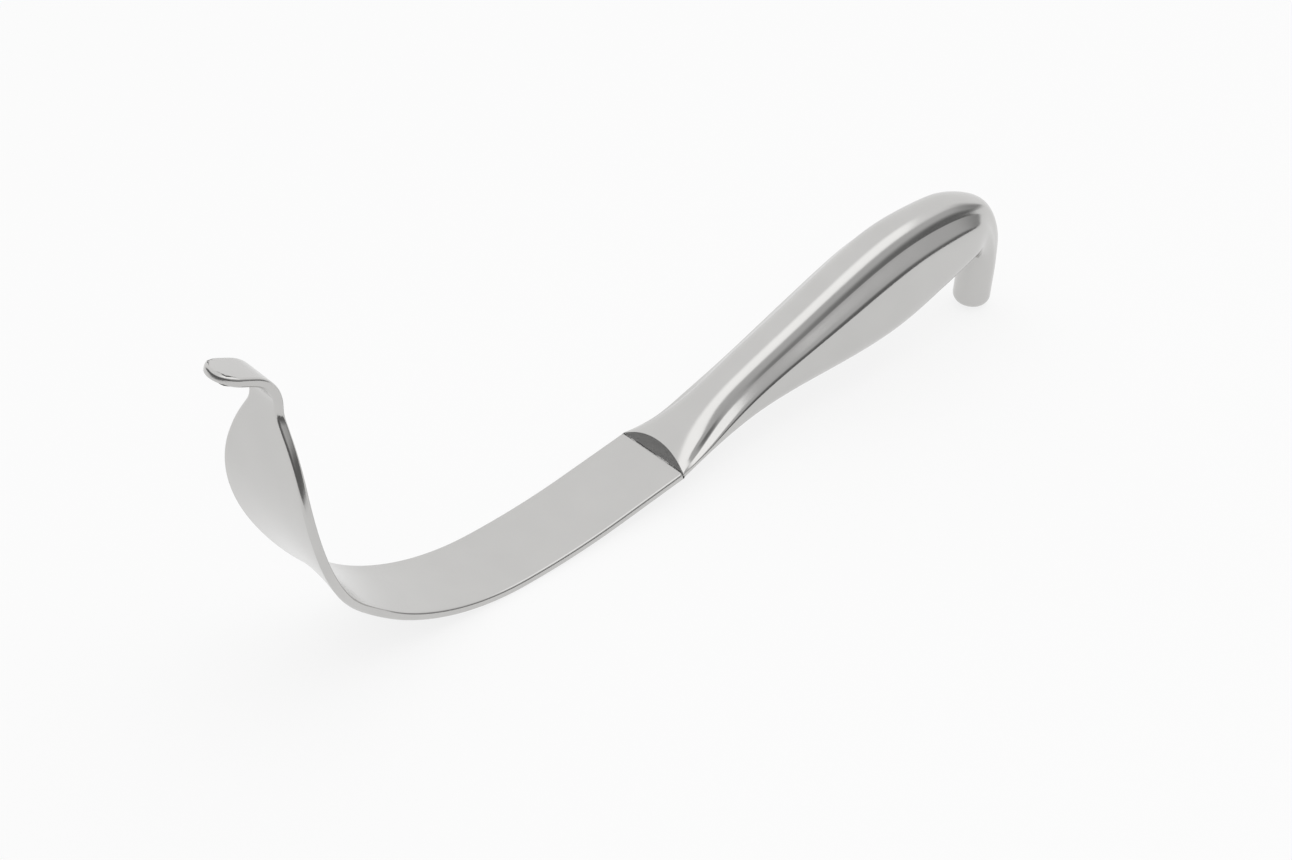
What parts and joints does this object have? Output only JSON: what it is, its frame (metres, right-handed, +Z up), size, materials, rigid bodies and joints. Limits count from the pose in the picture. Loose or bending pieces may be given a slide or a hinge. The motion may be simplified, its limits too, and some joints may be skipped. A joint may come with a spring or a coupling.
{
  "type": "handheld surgical retractor",
  "caption": "Handheld retractor forged in one piece: long flat strip curving up into a wide hooded blade with an out-turned lip, and a fluted grip ending in a hooked finger.",
  "frame": {"origin": "centre of the underside of the bounding box, on the surface the retractor rests on", "axes": "+X from the blade towards the hooked end of the grip, +Y across the strip, +Z up as it rests on its belly and fingertip"},
  "size_m": [0.274, 0.0384, 0.0992],
  "materials": {
    "retractor": "satin"
  },
  "bodies": {
    "root": {"retractor": "retractor"}
  },
  "joints": []
}
